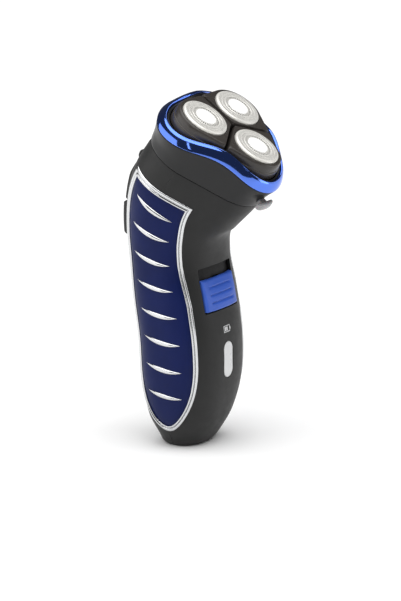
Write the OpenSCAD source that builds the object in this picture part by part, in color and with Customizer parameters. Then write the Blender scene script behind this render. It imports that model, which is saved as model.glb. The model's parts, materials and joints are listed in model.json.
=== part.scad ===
// Rotary electric shaver: a curved grip, a tilted head with three cutters, and a pop-up trimmer.
// Frame: the origin is on the flat base, +Z is up, the switch faces -Y and the user's right is +X.

/* [Overall] */
// Height of the centre of the cutter plane above the base
head_height = 148.7; // [147:0.1:151]
// Distance of that centre in front of the base
head_forward = 25; // [24:0.1:26]
// Forward tilt of the shaving head, in degrees
head_tilt = 35; // [33:0.5:36]

/* [Grip] */
// Wall thickness of the housings
wall = 1.8; // [1.6:0.1:2.0]
// Levels drawn along the grip
grip_levels = 21; // [12:1:40]
// Points drawn around the grip
grip_points = 36; // [24:12:60]
// Height of the trim above the housings
trim_rise = 0.6; // [0.3:0.1:0.8]
// Depth of the recess that the side panels sit in
panel_recess = 1.1; // [0.8:0.1:1.3]
// Number of raised grip ribs on each side panel
rib_count = 8; // [4:1:8]

/* [Shaving head] */
// Distance of each cutter's centre from the head's centre
cutter_pitch_r = 15; // [14.9:0.05:15.1]
// Radius of each guard
guard_r = 10.8; // [10.6:0.1:10.9]
// Depth of the seam between head and neck below the cutter plane
seam_depth = 23; // [22:0.5:24]
// Rise and fall of the coloured ring between its lobes and flats
ring_wave = 2.75; // [2:0.25:3]
// Gap between neighbouring pods
pod_gap = 1.3; // [1.2:0.1:1.6]
// Number of slots in each guard
guard_slots = 24; // [12:2:30]

/* [Drive] */
// Teeth on the motor's pinion
pinion_teeth = 12; // [12:1:12]
// Teeth on each cutter's gear
gear_teeth = 32; // [32:1:32]
// Radius of the motor can
motor_r = 10.5; // [9.5:0.5:10.5]
// Radial clearance of shafts and pins in their bores
running_gap = 0.05; // [0.03:0.01:0.08]

/* [Controls] */
// Travel of the power switch
switch_travel = 5; // [4:0.5:5]
// Half width of the power switch
switch_half_w = 12.6; // [12:0.1:13]
// Half width of the trimmer
trimmer_half_w = 14; // [13:0.5:14.5]

/* [Hidden] */

$fn = 64;
eps = 0.01;

// Grip sections: distance along the grip, centre y and z, tilt, half width, half depth,
// roundness, and share of the rounded triangle that the neck ends in.
seam_y = -head_forward + seam_depth * sin(head_tilt);
seam_z = head_height - seam_depth * cos(head_tilt);
SECTIONS = [
    [0, -0.8, 0, 0, 10.5, 8.2, 2.2, 0],
    [2, -1, 0.7, 0, 12.7, 10, 2.2, 0],
    [6.5, -1.8, 4, 0, 15, 11.9, 2.3, 0],
    [17, -2.4, 14, 0, 20.3, 16.2, 2.5, 0],
    [34, -3, 30, 0, 23.8, 19.2, 2.6, 0],
    [54, -2.4, 50, 0, 24.6, 19.8, 2.6, 0],
    [74, 0.7, 70, 0, 24.5, 19.5, 2.6, 0],
    [90, 3.1, 85, 3, 24, 19.1, 2.6, 0],
    [104, 3.3, 99, 10, 24.5, 20, 2.5, 0.15],
    [120, -1, 114.8, 30, 26, 22.5, 2.3, 0.65],
    [137, seam_y, seam_z, head_tilt, 27, 27, 2.1, 1]
];
last = len(SECTIONS) - 1;
grip_length = SECTIONS[last][0];
neck_lobe_r = 12.6;
neck_corner_r = 16.9;

// Head outline: rounded triangles on lobes at 270, 30 and 150 degrees.
lobe_angles = [270, 150, 30];
ring_top = [15.5, 15.6, 4.65];
ring_bottom = [13, 20, 9.45];
ring_wall = 1.3;
housing_corner_r = 17.2;
pod_corner_r = 13.4;
hinge_v = 21.5;
hinge_w = -23.5;
hinge_pin_r = 1;
hinge_knuckle_r = 2;

// Panel outline along the grip
panel_bottom_s = 11;
panel_wide_s = 45;
panel_top_s = 126;
panel_half_angle = 40;
panel_neck_angle = 36;
trim_width = 2.4;

// Gears
gear_module = 2 * cutter_pitch_r / (pinion_teeth + gear_teeth);
gear_bottom_w = -28.7;
gear_top_w = -25.7;

// Depths along the head's axis, measured up from the cutter plane
deck_bottom_w = -25;
deck_top_w = -23.6;
plate_top_w = -30.2;
plate_bottom_w = -31.8;
motor_bottom_w = -50;
cap_bottom_w = -53;
pod_axis_w = -9.8;
spindle_tip_w = -4.6;

// Charging socket
socket_y = -4.7;
socket_r = 3.2;

// Slide direction of the power switch
switch_lean = 11;
switch_y = -19.2;
switch_z = 71.2;

// ---------- Section formulas ----------

function slope(i, c) =
    let (a = max(i - 1, 0), b = min(i + 1, last))
    (SECTIONS[b][c] - SECTIONS[a][c]) / (SECTIONS[b][0] - SECTIONS[a][0]);

function span_of(s, i = 0) = i >= last - 1 || s <= SECTIONS[i + 1][0] ? i : span_of(s, i + 1);

// Smooth value of column c at distance s along the grip
function grip_value(s, c) =
    let (
        i = span_of(s),
        h = SECTIONS[i + 1][0] - SECTIONS[i][0],
        t = (s - SECTIONS[i][0]) / h
    )
    (2 * t ^ 3 - 3 * t ^ 2 + 1) * SECTIONS[i][c]
    + (t ^ 3 - 2 * t ^ 2 + t) * h * slope(i, c)
    + (3 * t ^ 2 - 2 * t ^ 3) * SECTIONS[i + 1][c]
    + (t ^ 3 - t ^ 2) * h * slope(i + 1, c);

// Radius of a rounded triangle: corner circles of radius c on a circle of radius r
function triangle_r(phi, r, c) =
    let (
        off = abs((phi + 150) % 120 - 60),
        tangent = atan2(c * sin(60), r + c / 2)
    )
    off < tangent
        ? r * cos(off) + sqrt(c ^ 2 - (r * sin(off)) ^ 2)
        : (r / 2 + c) / cos(60 - off);

function oval_r(phi, a, b, n) = (abs(cos(phi) / a) ^ n + abs(sin(phi) / b) ^ n) ^ (-1 / n);

// Point on the grip's surface, moved inward by inset
function grip_point(s, phi, inset = 0) =
    let (
        share = grip_value(s, 7),
        oval = oval_r(phi, grip_value(s, 4), grip_value(s, 5), grip_value(s, 6)),
        tri = triangle_r(phi, neck_lobe_r, neck_corner_r),
        r = (1 - share) * oval + share * tri - inset,
        tilt = grip_value(s, 3)
    )
    [
        r * cos(phi),
        grip_value(s, 1) + r * sin(phi) * cos(tilt),
        grip_value(s, 2) + r * sin(phi) * sin(tilt)
    ];

low_levels = [0, 0.8, 2, 4, 6.5, 9.5];
levels = concat(
    low_levels,
    [for (i = [0 : grip_levels]) 13 + i * (grip_length - 13) / grip_levels]
);

// Half angle of the side panel at distance s
function panel_angle(s) =
    s < panel_wide_s
        ? panel_half_angle * sqrt(max(0, 1 - ((panel_wide_s - s) / (panel_wide_s - panel_bottom_s)) ^ 2))
        : s < 72 ? panel_half_angle
        : s < 92 ? panel_half_angle + (panel_neck_angle - panel_half_angle) * (s - 72) / 20
        : panel_neck_angle;

// ---------- Shared shapes ----------

// The grip as one solid, moved inward by inset, from distance start to over past the seam
module grip_solid(inset = 0, start = 0, over = 0) {
    kept = [for (s = levels) if (s > start + eps) s];
    n = grip_points;
    seam_step = over * [0, -sin(head_tilt), cos(head_tilt)];
    rings = concat(
        [for (s = concat([start], kept)) [for (j = [0 : n - 1]) grip_point(s, (j + 0.5) * 360 / n, inset)]],
        over > 0
            ? [[for (j = [0 : n - 1]) grip_point(grip_length, (j + 0.5) * 360 / n, inset) + seam_step]]
            : []
    );
    m = len(rings);
    points = [for (ring = rings) for (p = ring) p];
    sides = [
        for (i = [0 : m - 2]) for (j = [0 : n - 1])
            [i * n + j, i * n + (j + 1) % n, (i + 1) * n + (j + 1) % n, (i + 1) * n + j]
    ];
    bottom = [for (j = [0 : n - 1]) n - 1 - j];
    top = [for (j = [0 : n - 1]) (m - 1) * n + j];
    polyhedron(points, [for (f = concat(sides, [bottom, top])) [for (k = [len(f) - 1 : -1 : 0]) f[k]]]);
}

// Space between two depths below the grip's surface
module grip_skin(outer, inner) {
    difference() {
        grip_solid(outer);
        grip_solid(inner, 4.5, 1);
    }
}

// Everything behind the line where the two housings meet
module rear_space() {
    split_levels = [for (i = [0 : 26]) 1 + i * (grip_length - 3) / 26];
    line = [for (s = split_levels) [grip_value(s, 1), grip_value(s, 2)]];
    above = [seam_y - 30 * sin(head_tilt), seam_z + 30 * cos(head_tilt)];
    below = [SECTIONS[0][1] - 0.1, -5];
    rotate([90, 0, 90])
        linear_extrude(100, center = true)
            polygon(concat([below], line, [above, [80, above[1]], [80, -5]]));
}

// Outline of the side panel seen from the side, shrunk by edge
function panel_outline(edge) =
    let (
        turn = edge * 2.4,
        bottom_s = panel_bottom_s + edge * 1.25,
        top_s = panel_top_s - edge * 1.2,
        curve = [
            for (a = [0 : 9 : 81]) panel_wide_s - (panel_wide_s - bottom_s) * cos(a)
        ],
        straight = [for (i = [0 : 10]) panel_wide_s + i * (top_s - panel_wide_s) / 10],
        front = concat(
            [for (s = curve)
                [s, 180 + (panel_half_angle - turn)
                    * sqrt(max(0, 1 - ((panel_wide_s - s) / (panel_wide_s - bottom_s)) ^ 2))]],
            [for (s = straight) [s, 180 + panel_angle(s) - turn]]
        ),
        back = [for (k = [len(front) - 1 : -1 : 1]) [front[k][0], 360 - front[k][1]]]
    )
    [for (p = concat(front, back)) let (q = grip_point(p[0], p[1])) [q[1], q[2]]];

module flank_prism(edge = 0) {
    rotate([90, 0, 90]) linear_extrude(40) polygon(panel_outline(edge));
}

// Mirrors the left-hand piece for the right-hand side
module on_side(side) {
    if (side == "left") mirror([1, 0, 0]) children();
    else children();
}

// The parts of the head are drawn from the centre of the cutter plane
module head_frame() {
    translate([0, -head_forward, head_height]) rotate([head_tilt, 0, 0]) children();
}

// Places a child at one cutter's centre, with +X pointing outward from the head's centre
module at_lobe(angle) {
    rotate(angle) translate([cutter_pitch_r, 0, 0]) children();
}

// Places a child on the switch, with +Z along its slide and -Y outward
module switch_frame() {
    translate([0, switch_y, switch_z]) rotate([-switch_lean, 0, 0]) children();
}

// A closed band around the head: profile(phi) gives [radius, height] pairs
module band(rings, steps) {
    m = len(rings[0]);
    points = [
        for (i = [0 : steps - 1]) for (p = rings[i])
            [p[0] * cos(i * 360 / steps), p[0] * sin(i * 360 / steps), p[1]]
    ];
    faces = [
        for (i = [0 : steps - 1]) for (j = [0 : m - 1])
            let (i2 = (i + 1) % steps, j2 = (j + 1) % m)
            [i * m + j, i * m + j2, i2 * m + j2, i2 * m + j]
    ];
    polyhedron(points, faces);
}

function wave(phi) = ring_wave * cos(3 * (phi + 90));
function ring_r(phi, edge, inset = 0) = triangle_r(phi, edge[0], edge[1]) - inset;
function ring_w(phi, edge) = -edge[2] - wave(phi);

// Rounded-triangle plate made of true arcs
module lobe_plate(r, c) {
    for (a = lobe_angles) rotate(a) translate([r, 0]) circle(c);
    polygon([
        for (a = [30, 150, 270]) for (e = [-60, 60])
            [r * cos(a) + c * cos(a + e), r * sin(a) + c * sin(a + e)]
    ]);
}

module gear(teeth, height) {
    pitch_r = gear_module * teeth / 2;
    step = 360 / teeth;
    tip_r = pitch_r + 0.8 * gear_module;
    root_r = pitch_r - 1.1 * gear_module;
    linear_extrude(height)
        polygon([
            for (i = [0 : teeth - 1])
                for (p = [[root_r, -0.27], [tip_r, -0.12], [tip_r, 0.12], [root_r, 0.27]])
                    [p[0] * cos((i + p[1]) * step), p[0] * sin((i + p[1]) * step)]
        ]);
}

module ring_tube(r_out, r_in, h) {
    difference() {
        cylinder(r = r_out, h = h);
        translate([0, 0, -1]) cylinder(r = r_in, h = h + 2);
    }
}

// ---------- Housings ----------

module switch_window() {
    switch_frame()
        translate([-switch_half_w - 0.4, -10, -7.5])
            cube([2 * switch_half_w + 0.8, 20, 15 + switch_travel + 0.5]);
}

module lens_pill(grow = 0) {
    translate([0, 0, 40.75])
        rotate([90, 0, 0])
            linear_extrude(40) {
                for (z = [-4.75, 4.75]) translate([0, z]) circle(3.5 + grow);
                square([7 + 2 * grow, 9.5], center = true);
            }
}

// Space around the head's hinge that both halves leave free
module hinge_relief() {
    head_frame()
        translate([0, hinge_v, hinge_w]) rotate([0, 90, 0]) cylinder(r = 3.1, h = 40, center = true);
}

module trimmer_window() {
    translate([-trimmer_half_w - 0.3, 6, 91]) cube([2 * trimmer_half_w + 0.6, 30, 44.2]);
    translate([-trimmer_half_w - 1.6, trim_hinge_y - 7, trim_hinge_z - 2.8])
        cube([2 * trimmer_half_w + 3.2, 8.2, 4.6]);
}

module housing_blank() {
    difference() {
        grip_skin(0, wall);
        for (side = ["left", "right"])
            on_side(side)
                difference() {
                    flank_prism();
                    grip_solid(panel_recess);
                }
    }
}

module front_housing() {
    color("#2b2b2d")
        resize([0, 0, 0])
            difference() {
                housing_blank();
                rear_space();
                switch_window();
                lens_pill();
                translate([0, socket_y, -1]) cylinder(r = socket_r, h = 8);
            }
}

module rear_housing() {
    color("#2b2b2d")
        resize([0, 0, 0])
            difference() {
                intersection() {
                    housing_blank();
                    rear_space();
                }
                trimmer_window();
                hinge_relief();
                housing_screw_places() {
                    translate([0, 0, -4.2]) cylinder(r = 1, h = 30);
                    cylinder(r = 2.1, h = 30);
                }
            }
}

module side_trim(side) {
    color("#c9ccd0")
        resize([0, 0, 0])
            on_side(side)
                intersection() {
                    difference() {
                        grip_solid(-trim_rise);
                        grip_solid(panel_recess);
                    }
                    difference() {
                        flank_prism();
                        flank_prism(trim_width);
                    }
                }
}

module side_panel(side) {
    color("#14245a")
        resize([0, 0, 0])
            on_side(side)
                intersection() {
                    difference() {
                        grip_solid(0.1);
                        grip_solid(panel_recess);
                    }
                    flank_prism(trim_width);
                }
}

// One raised crescent: pointed at both ends and ridged along its middle
module grip_rib(s_back, s_mid, s_front) {
    stations = 8;
    half = 1.2;
    curve = [
        for (i = [0 : stations])
            let (t = i / stations, phi = 159.5 + 42.5 * t)
            [
                (1 - t) * (1 - 2 * t) * s_back + 4 * t * (1 - t) * s_mid + t * (2 * t - 1) * s_front,
                phi,
                max(0.12, half * sin(180 * t))
            ]
    ];
    points = [
        for (c = curve)
            let (rise = min(0.8, c[2] * 0.7))
            for (p = [[-c[2], 0.2], [0, -rise], [c[2], 0.2], [0, 0.5]])
                grip_point(c[0] + p[0], c[1], p[1])
    ];
    sides = [
        for (i = [0 : stations - 1]) for (j = [0 : 3])
            [i * 4 + j, i * 4 + (j + 1) % 4, (i + 1) * 4 + (j + 1) % 4, (i + 1) * 4 + j]
    ];
    ends = [[3, 2, 1, 0], [for (j = [0 : 3]) stations * 4 + j]];
    polyhedron(points, concat(sides, ends));
}

// How far the back and front end of each rib stand above the even spacing, from the lowest rib up
rib_lifts = [
    [0.6, 0.3], [0.7, 0.6], [0.6, 0.7], [0.5, 0.4], [1, 0], [1.3, 0], [0.9, -0.4], [-0.6, -0.1]
];

module grip_ribs(side) {
    pitch = 12.45;
    color("#d4d6da")
        for (i = [0 : rib_count - 1]) {
            lift = rib_lifts[i];
            mid = 29.4 + pitch * i - (i > 6 ? 0.6 : 0) + (lift[0] + lift[1]) / 2;
            mirror([side == "right" ? 1 : 0, 0, 0])
                grip_rib(mid + 1.6 + 0.12 * i + lift[0] / 2, mid, mid - 0.75 + lift[1] / 2);
        }
}

// ---------- Inside the grip ----------

// Screws enter from the back, low on the rear housing
module housing_screw_places() {
    for (x = [-8, 8])
        translate([x, 14, 32]) rotate([-90, 0, 0]) children();
}

module inner_chassis() {
    color("#d9d9d4")
        difference() {
            union() {
                translate([-13, -7.4, 18]) cube([26, 1.5, 74]);
                for (z = [26, 58]) translate([-9, -5.9, z]) cube([18, 8.4, 4]);
                for (x = [-9, 9]) for (z = [32, 82])
                    translate([x, -7.4, z]) rotate([90, 0, 0]) cylinder(r = 1.6, h = 3.6);
                for (x = [-10.6, 8.6]) translate([x, -5.9, 76]) cube([2, 9, 12]);
            }
            translate([0, 2.5, 10]) cylinder(r = 7.1, h = 62);
        }
}

module battery() {
    color("#3f8f4f") translate([0, 2.5, 19]) cylinder(r = 7.1, h = 48);
    color("#c0c0c0") translate([0, 2.5, 67]) cylinder(r = 2.6, h = 1.2);
}

module battery_contacts() {
    color("#c9b458") {
        translate([-4, -1, 18.5]) cube([8, 7, 0.5]);
        translate([-4, -1, 68.2]) cube([8, 7, 0.5]);
    }
}

module circuit_board() {
    color("#1f6b3a") translate([-10.8, -12.2, 28]) cube([21.6, 1.2, 58]);
    color("#222222") {
        translate([-8, -13.4, 50]) cube([6, 1.2, 6]);
        translate([3, -13.8, 52]) cube([5, 1.6, 3]);
    }
}

module charge_led() {
    color("#e8f2e8") translate([-1.6, -14, 39.5]) cube([3.2, 1.8, 2.6]);
}

module charge_lens() {
    color("#d6d8d9")
        resize([0, 0, 0])
            intersection() {
                grip_skin(0.15, wall + 0.6);
                lens_pill();
            }
}

module charging_socket() {
    color("#1a1a1a")
        translate([0, socket_y, 0])
            difference() {
                union() {
                    cylinder(r = socket_r, h = 15);
                    translate([0, 0, 4]) cylinder(r = 4.2, h = 1.2);
                }
                translate([0, 0, -1]) cylinder(r = 1.8, h = 14);
            }
}

module socket_contact() {
    color("#c9b458") translate([-1.5, socket_y - 0.4, 15]) cube([3, 0.8, 2.4]);
}

module housing_screws() {
    color("#8f9296")
        housing_screw_places() {
            translate([0, 0, -6]) cylinder(r = 0.95, h = 6);
            difference() {
                cylinder(r = 1.9, h = 1.2);
                translate([0, 0, 0.6]) cube([0.6, 2.6, 1.4], center = true);
                translate([0, 0, 0.6]) cube([2.6, 0.6, 1.4], center = true);
            }
        }
}

// ---------- Switch ----------

module switch_track() {
    color("#161616")
        resize([0, 0, 0])
            difference() {
                intersection() {
                    grip_skin(wall + 0.1, wall + 1);
                    switch_frame()
                        translate([-switch_half_w - 0.9, -12, -9])
                            cube([2 * switch_half_w + 1.8, 20, 24]);
                }
                switch_frame() translate([-2.4, -12, -3]) cube([4.8, 24, 6 + switch_travel]);
            }
}

module power_switch() {
    color("#3c5fbe") {
        resize([0, 0, 0])
            intersection() {
                difference() {
                    grip_solid(-1);
                    grip_solid(wall - 0.5, 4.5);
                }
                switch_frame()
                    difference() {
                        translate([-switch_half_w, -14, -7.1]) cube([2 * switch_half_w, 18, 14.2]);
                        for (z = [-3.4, 0, 3.4])
                            translate([-8.5, -5, z - 0.4]) cube([17, 3.6, 0.8]);
                    }
            }
        switch_frame() translate([-2, 0, -2]) cube([4, 4.6, 4]);
    }
}

module switch_contact() {
    color("#c9b458") switch_frame() translate([-4, 4.6, -2]) cube([8, 0.8, 4]);
}

// ---------- Motor and gears ----------

module motor_can() {
    color("#a9adb2")
        head_frame()
            difference() {
                translate([0, 0, motor_bottom_w]) cylinder(r = motor_r, h = plate_bottom_w - motor_bottom_w);
                translate([0, 0, motor_bottom_w - 1]) cylinder(r = motor_r - 0.9, h = 18.2);
                translate([0, 0, -40]) cylinder(r = 1 + running_gap, h = 20);
            }
}

module motor_magnets() {
    color("#4a4d50")
        head_frame()
            difference() {
                translate([0, 0, -47]) ring_tube(motor_r - 0.9, 8, 12);
                translate([-1.5, -12, -48]) cube([3, 24, 14]);
            }
}

module motor_end_cap() {
    color("#2a2a2a")
        head_frame()
            difference() {
                translate([0, 0, cap_bottom_w]) cylinder(r = motor_r, h = motor_bottom_w - cap_bottom_w);
                translate([0, 0, -52]) cylinder(r = 1 + running_gap, h = 4);
            }
}

module motor_armature() {
    color("#b8733a")
        head_frame()
            difference() {
                translate([0, 0, -46.5]) cylinder(r = 7.4, h = 11);
                translate([0, 0, -47]) cylinder(r = 1, h = 12);
                for (a = [0, 120, 240])
                    rotate(a) translate([4, -0.8, -47]) cube([5, 1.6, 12]);
            }
}

module motor_shaft() {
    color("#c4c7ca") head_frame() translate([0, 0, -51.9]) cylinder(r = 1, h = 26.4);
}

module drive_pinion() {
    color("#e6e2d6")
        head_frame()
            difference() {
                translate([0, 0, gear_bottom_w]) rotate(-90 + 15) gear(pinion_teeth, 3);
                translate([0, 0, -30]) cylinder(r = 1, h = 6);
            }
}

module gear_plate() {
    color("#9aa0a6")
        head_frame()
            difference() {
                translate([0, 0, plate_bottom_w]) cylinder(r = 19.5, h = plate_top_w - plate_bottom_w);
                translate([0, 0, -33]) cylinder(r = 2.5, h = 4);
                for (a = lobe_angles)
                    at_lobe(a) translate([0, 0, -33]) cylinder(r = 1 + running_gap, h = 4);
            }
}

module drive_deck() {
    color("#232325")
        head_frame() {
            difference() {
                union() {
                    translate([0, 0, deck_bottom_w])
                        linear_extrude(deck_top_w - deck_bottom_w)
                            difference() {
                                lobe_plate(neck_lobe_r, 14.4);
                                translate([-19, 17.8]) square([38, 8]);
                            }
                    for (a = lobe_angles)
                        at_lobe(a) translate([0, 0, deck_bottom_w]) cylinder(r = 3.4, h = 8);
                    for (a = [90, 210, 330])
                        rotate(a) translate([16, 0, plate_top_w]) cylinder(r = 1.5, h = 6);
                }
                for (a = lobe_angles)
                    at_lobe(a) translate([0, 0, -26]) cylinder(r = 2 + running_gap, h = 12);
            }
            for (x = [-9, 5])
                difference() {
                    union() {
                        translate([x, hinge_v, hinge_w])
                            rotate([0, 90, 0]) cylinder(r = hinge_knuckle_r, h = 4);
                        translate([x, 17, deck_bottom_w]) cube([4, 3.4, deck_top_w - deck_bottom_w]);
                    }
                    translate([x - 1, hinge_v, hinge_w])
                        rotate([0, 90, 0]) cylinder(r = hinge_pin_r, h = 6);
                }
        }
}

module deck_screws() {
    color("#8f9296")
        head_frame()
            for (a = [210, 330])
                rotate(a)
                    translate([16, 0, deck_top_w])
                        difference() {
                            cylinder(r = 1.6, h = 0.9);
                            translate([0, 0, 0.9]) cube([0.5, 2.2, 1], center = true);
                            translate([0, 0, 0.9]) cube([2.2, 0.5, 1], center = true);
                        }
}

module neck_seal() {
    color("#101010")
        head_frame()
            translate([0, 0, deck_top_w])
                linear_extrude(1.1)
                    difference() {
                        lobe_plate(neck_lobe_r, 14.4);
                        lobe_plate(neck_lobe_r, 13.2);
                        translate([-19, 15]) square([38, 10]);
                    }
}

module spindle(angle) {
    color("#e6e2d6")
        head_frame()
            at_lobe(angle) {
                rotate(-angle) {
                    translate([0, 0, gear_bottom_w]) rotate(angle + 180) gear(gear_teeth, 3);
                    translate([0, 0, gear_top_w - 1]) cylinder(r = 2, h = -5.2 - gear_top_w);
                    translate([-0.7, -3, -6.4]) cube([1.4, 6, 1.8]);
                    translate([0, 0, -30.1]) cylinder(r = 2.2, h = 2.4);
                    translate([0, 0, -31.7]) cylinder(r = 1, h = 4);
                }
            }
}

module head_hinge_pin() {
    color("#c4c7ca")
        head_frame()
            translate([-9, hinge_v, hinge_w]) rotate([0, 90, 0]) cylinder(r = hinge_pin_r, h = 18);
}

// ---------- Shaving head ----------

head_steps = 60;

function housing_profile(phi) =
    let (
        low = triangle_r(phi, neck_lobe_r, housing_corner_r),
        mid = triangle_r(phi, 12.7, 18.2),
        ledge_w = ring_w(phi, ring_bottom),
        ledge_r = ring_r(phi, ring_bottom),
        top_w = ring_w(phi, ring_top) - 0.6,
        bore_r = triangle_r(phi, cutter_pitch_r, pod_corner_r + 0.5)
    )
    [
        [low, -seam_depth + 0.15],
        [mid, -17.5],
        [ledge_r - 0.3, ledge_w - 0.2],
        [ledge_r - 1.9, ledge_w - 0.2],
        [ring_r(phi, ring_top) - ring_wall - 0.05, top_w],
        [min(bore_r, ring_r(phi, ring_top) - ring_wall - 0.9), top_w],
        [min(bore_r, ledge_r - 3.2), -12.5 + min(0, ledge_w + 11.5)],
        [low - wall, -19],
        [low - wall, -seam_depth + 0.15]
    ];

module head_housing() {
    color("#1d1d1f")
        head_frame() {
            difference() {
                resize([0, 0, 0])
                    difference() {
                        band([for (i = [0 : head_steps - 1]) housing_profile(i * 360 / head_steps)], head_steps);
                        translate([0, hinge_v, hinge_w])
                            rotate([0, 90, 0]) cylinder(r = 2.7, h = 38, center = true);
                    }
                button_stem_space(0.3);
            }
            difference() {
                union() {
                    translate([-4.7, hinge_v, hinge_w])
                        rotate([0, 90, 0]) cylinder(r = hinge_knuckle_r, h = 9.4);
                    translate([-4.7, hinge_v - 1.4, hinge_w]) cube([9.4, 2.4, 6.5]);
                }
                translate([-6, hinge_v, hinge_w])
                    rotate([0, 90, 0]) cylinder(r = hinge_pin_r + running_gap, h = 12);
            }
        }
}

function ring_profile(phi) =
    let (
        top_r = ring_r(phi, ring_top),
        low_r = ring_r(phi, ring_bottom),
        top_w = ring_w(phi, ring_top),
        low_w = ring_w(phi, ring_bottom)
    )
    [
        [low_r, low_w],
        [(low_r + top_r) / 2 + 0.35, (low_w + top_w) / 2],
        [top_r, top_w],
        [top_r - ring_wall, top_w - 0.2],
        [low_r - 1.9, low_w]
    ];

module head_ring() {
    color("#3f63d8")
        head_frame() band([for (i = [0 : head_steps - 1]) ring_profile(i * 360 / head_steps)], head_steps);
}

module cutter_retainer() {
    color("#3a3a3c")
        head_frame()
            resize([0, 0, 0])
                difference() {
                    union() {
                        translate([0, 0, -12.6]) linear_extrude(1.2) lobe_plate(13, 13.6);
                        for (a = lobe_angles) for (side = [-1, 1])
                            at_lobe(a) translate([-1.8, side * 12.7 - 0.6, -12]) cube([3.6, 1.2, 3.6]);
                    }
                    for (a = lobe_angles)
                        at_lobe(a) {
                            translate([0, 0, -14]) cylinder(r = 8.2, h = 4);
                            translate([0, 0, pod_axis_w]) rotate([90, 0, 0])
                                cylinder(r = 0.8 + running_gap, h = 28, center = true);
                        }
                    translate([0, 0, -14]) cylinder(r = 2, h = 4);
                }
}

module retainer_knob() {
    color("#5a5a5c")
        head_frame() {
            translate([0, 0, -14.2]) cylinder(r = 3.6, h = 1.6);
            translate([0, 0, -12.6]) cylinder(r = 2, h = 1.6);
        }
}

module button_stem_space(grow) {
    translate([-2 - grow, -33, -20.4 - grow]) cube([4 + 2 * grow, 8, 2 + 2 * grow]);
}

// A broad, slightly bowed paddle low on the front lobe, with a stem through the wall
module release_button() {
    color("#9a9da0")
        head_frame() {
            intersection() {
                translate([0, -12.9, -21.4]) ring_tube(21.8, 19.7, 3.8);
                translate([-8, -40, -22]) cube([16, 20, 6]);
            }
            translate([-2, -33, -20.4]) cube([4, 6.6, 2]);
        }
}

module button_spring() {
    color("#b5b8bb")
        head_frame()
            translate([0, -26.4, -19.4]) rotate([-90, 0, 0]) ring_tube(0.9, 0.5, 2.2);
}

// Outline of one pod around its cutter's centre: an arc outside, a wedge towards the head's centre
module pod_outline(c) {
    flat = cutter_pitch_r / 2 + c;
    difference() {
        translate([-cutter_pitch_r, 0])
            union() {
                translate([cutter_pitch_r, 0]) circle(c);
                polygon([
                    [0, 0],
                    [flat * cos(60), -flat * sin(60)],
                    [cutter_pitch_r + c * cos(60), -c * sin(60)],
                    [cutter_pitch_r, 0],
                    [cutter_pitch_r + c * cos(60), c * sin(60)],
                    [flat * cos(60), flat * sin(60)]
                ]);
            }
        for (side = [-1, 1])
            translate([-cutter_pitch_r, 0])
                rotate(side * 60)
                    translate([-1, side < 0 ? -40 : -pod_gap / 2]) square([60, 40 + pod_gap / 2]);
    }
}

module pod(angle) {
    color("#2e2e30")
        head_frame()
            at_lobe(angle)
                difference() {
                    union() {
                        translate([0, 0, -8]) linear_extrude(3.5) pod_outline(pod_corner_r);
                        translate([0, 0, -4.5]) linear_extrude(1.8) pod_outline(13);
                        translate([0, 0, -2.7]) linear_extrude(1.9) pod_outline(12.2);
                        for (side = [-1, 1]) {
                            translate([-1.5, side * 11.4 - 0.6, -10.8]) cube([3, 1.2, 3]);
                            translate([0, side * 12.4, pod_axis_w])
                                rotate([90, 0, 0]) cylinder(r = 0.8, h = 1.6, center = true);
                        }
                    }
                    translate([0, 0, -9]) cylinder(r = 10.2, h = 9);
                    translate([0, 0, -6]) cylinder(r = guard_r + 0.25, h = 7);
                    translate([0, 0, -6.4]) cylinder(r = 11.3, h = 2.4);
                }
}

module guard(angle) {
    color("#d7d4cd")
        head_frame()
            at_lobe(angle)
                difference() {
                    rotate_extrude()
                        polygon([
                            [4.8, -0.6], [10.1, -0.6], [10.1, -5], [11.2, -5], [11.2, -4.3],
                            [guard_r, -4.3], [guard_r, -0.7], [10.2, 0], [8.6, 0], [8.6, -0.15],
                            [8.2, -0.15], [8.2, 0], [6.6, 0], [6.6, -0.15], [6.2, -0.15],
                            [6.2, 0], [4.8, 0]
                        ]);
                    for (i = [0 : guard_slots - 1])
                        rotate(i * 360 / guard_slots) translate([5.4, -0.2, -1]) cube([4.2, 0.4, 2]);
                }
}

module guard_cap(angle) {
    color("#f0f0ee")
        head_frame()
            at_lobe(angle) {
                translate([0, 0, -0.6]) cylinder(r = 4.8, h = 0.9);
                translate([0, 0, -2.8]) cylinder(r = 1, h = 2.2);
            }
}

module cutter(angle) {
    color("#b9bdc2")
        head_frame()
            at_lobe(angle)
                rotate(-angle)
                    difference() {
                        union() {
                            translate([0, 0, -4.2]) cylinder(r = 3.4, h = 2.2);
                            translate([0, 0, -3.2]) cylinder(r = 9.4, h = 0.8);
                            for (i = [0 : 11])
                                rotate(i * 30 + 10)
                                    translate([5.6, -0.35, -2.4]) cube([3.7, 0.7, 1.65]);
                            for (side = [-1, 1])
                                translate([side * 1.8, side * 2.2, -5.8]) cylinder(r = 0.6, h = 1.6);
                        }
                        translate([0, 0, -5]) cylinder(r = 1 + running_gap, h = 4);
                    }
}

// ---------- Trimmer ----------

trim_hinge_y = 13.2;
trim_hinge_z = 131.6;
arm_bottom_z = 111;

// Slab of the back surface between two heights
module back_slab(outer, inner, z_low, z_high, half_w) {
    resize([0, 0, 0])
        intersection() {
            difference() {
                grip_solid(outer);
                grip_solid(inner, 4.5);
            }
            translate([-half_w, 6, z_low]) cube([2 * half_w, 30, z_high - z_low]);
        }
}

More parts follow.
